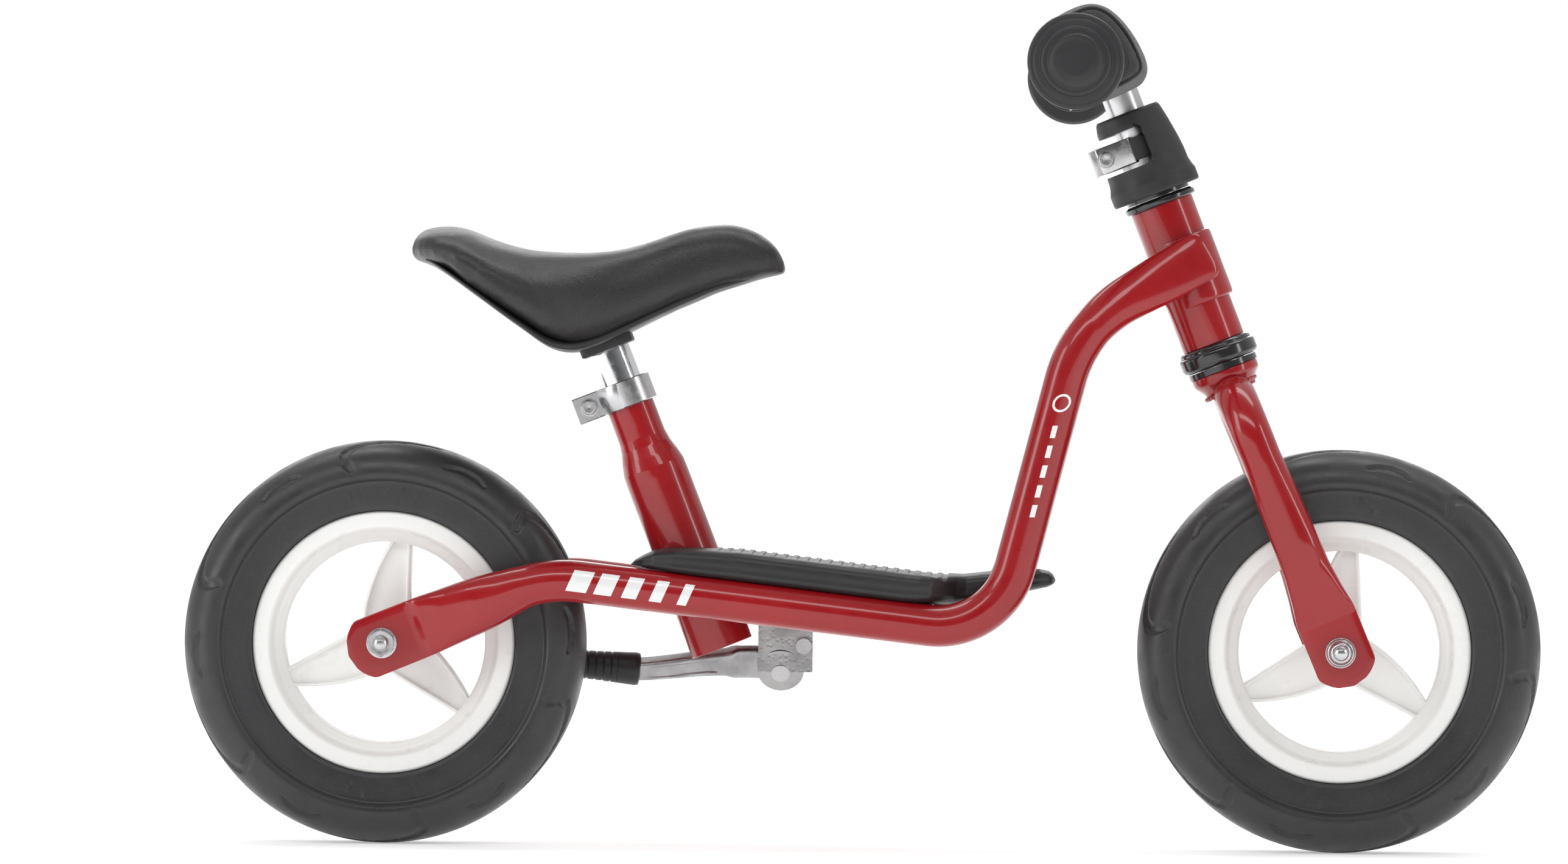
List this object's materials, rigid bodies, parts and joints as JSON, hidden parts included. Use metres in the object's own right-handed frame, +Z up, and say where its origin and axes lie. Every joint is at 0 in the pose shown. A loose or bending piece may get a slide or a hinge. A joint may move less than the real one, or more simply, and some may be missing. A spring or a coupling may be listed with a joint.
{
  "type": "balance bike",
  "caption": "Child's balance bike: twin-tube frame with a footboard, sliding saddle and handlebar, turning fork, foam-tyred wheels and a fold-back kickstand.",
  "frame": {"origin": "on the ground, midway between the wheels, centred between the grips", "axes": "+X is forward, +Y is the rider's left, +Z is up"},
  "size_m": [0.724, 0.33, 0.4533],
  "materials": {
    "red_lacquer": "gloss powder coat",
    "board_plastic": "fine grained, satin",
    "gloss_black": "gloss",
    "matt_black": "fine spark-eroded grain",
    "saddle_leatherette": "grained leatherette",
    "pad_fabric": "knitted",
    "soft_rubber": "satin",
    "tyre_rubber": "satin foam rubber",
    "white_plastic": "satin",
    "cast_aluminium": "as cast, tumbled",
    "chrome": "polished",
    "bright_steel": "satin",
    "zinc_steel": "bright zinc"
  },
  "bodies": {
    "frame": {"main_tube_left": "red_lacquer", "main_tube_right": "red_lacquer", "head_tube": "red_lacquer", "head_lug": "red_lacquer", "seat_tube": "red_lacquer", "seat_bridge_left": "red_lacquer", "seat_bridge_right": "red_lacquer", "front_bridge": "red_lacquer", "footboard": "board_plastic", "board_screw_left": "zinc_steel", "board_screw_right": "zinc_steel", "lower_headset_cup": "gloss_black", "upper_headset_cup": "gloss_black", "seat_clamp": "zinc_steel", "seat_clamp_bolt": "zinc_steel", "seat_clamp_nut": "zinc_steel", "kickstand_housing": "cast_aluminium", "kickstand_pivot_bolt": "zinc_steel", "kickstand_bolt": "zinc_steel", "rear_axle": "zinc_steel", "rear_nut_left": "zinc_steel", "rear_nut_right": "zinc_steel", "rear_washer_left": "zinc_steel", "rear_washer_right": "zinc_steel", "rear_spacer_left": "zinc_steel", "rear_spacer_right": "zinc_steel"},
    "seat": {"seat_post": "chrome", "saddle_clamp": "matt_black", "saddle_shell": "matt_black", "saddle_cover": "saddle_leatherette"},
    "fork": {"steerer": "red_lacquer", "fork_crown": "red_lacquer", "fork_blade_left": "red_lacquer", "fork_blade_right": "red_lacquer", "crown_race": "gloss_black", "top_race": "gloss_black", "steering_cover": "matt_black", "bar_clamp": "zinc_steel", "bar_clamp_bolt": "zinc_steel", "bar_clamp_nut": "zinc_steel", "front_axle": "zinc_steel", "front_nut_left": "zinc_steel", "front_nut_right": "zinc_steel", "front_washer_left": "zinc_steel", "front_washer_right": "zinc_steel", "front_spacer_left": "zinc_steel", "front_spacer_right": "zinc_steel"},
    "handlebar": {"stem": "bright_steel", "handlebar": "zinc_steel", "grip_left": "soft_rubber", "grip_right": "soft_rubber", "handlebar_pad": "pad_fabric"},
    "rear_wheel": {"rear_tyre": "tyre_rubber", "rear_rim": "white_plastic", "rear_bearings": "zinc_steel"},
    "front_wheel": {"front_tyre": "tyre_rubber", "front_rim": "white_plastic", "front_bearings": "zinc_steel"},
    "kickstand": {"kickstand_leg": "cast_aluminium", "kickstand_foot": "soft_rubber"}
  },
  "joints": [
    {"name": "rear_wheel_spin", "type": "hinge", "parent": "frame", "child": "rear_wheel", "pos_m": [-0.2545, 0, 0.1075], "axis": [0, 1, 0], "continuous": true},
    {"name": "steering", "type": "hinge", "parent": "frame", "child": "fork", "pos_m": [0.18635, 0, 0.27101], "axis": [-0.3633, 0, 0.9317], "continuous": true},
    {"name": "front_wheel_spin", "type": "hinge", "parent": "fork", "child": "front_wheel", "pos_m": [0.2545, 0, 0.1075], "axis": [0, 1, 0], "continuous": true},
    {"name": "handlebar_height", "type": "slide", "parent": "fork", "child": "handlebar", "axis": [-0.3633, 0, 0.9317], "range_m": [0, 0.038]},
    {"name": "seat_height", "type": "slide", "parent": "frame", "child": "seat", "axis": [-0.3649, 0, 0.9311], "range_m": [0, 0.08]},
    {"name": "kickstand_fold", "type": "hinge", "parent": "frame", "child": "kickstand", "pos_m": [-0.044, 0.041, 0.0975], "axis": [0, -0.866, -0.5], "range_deg": [0, 112]}
  ]
}
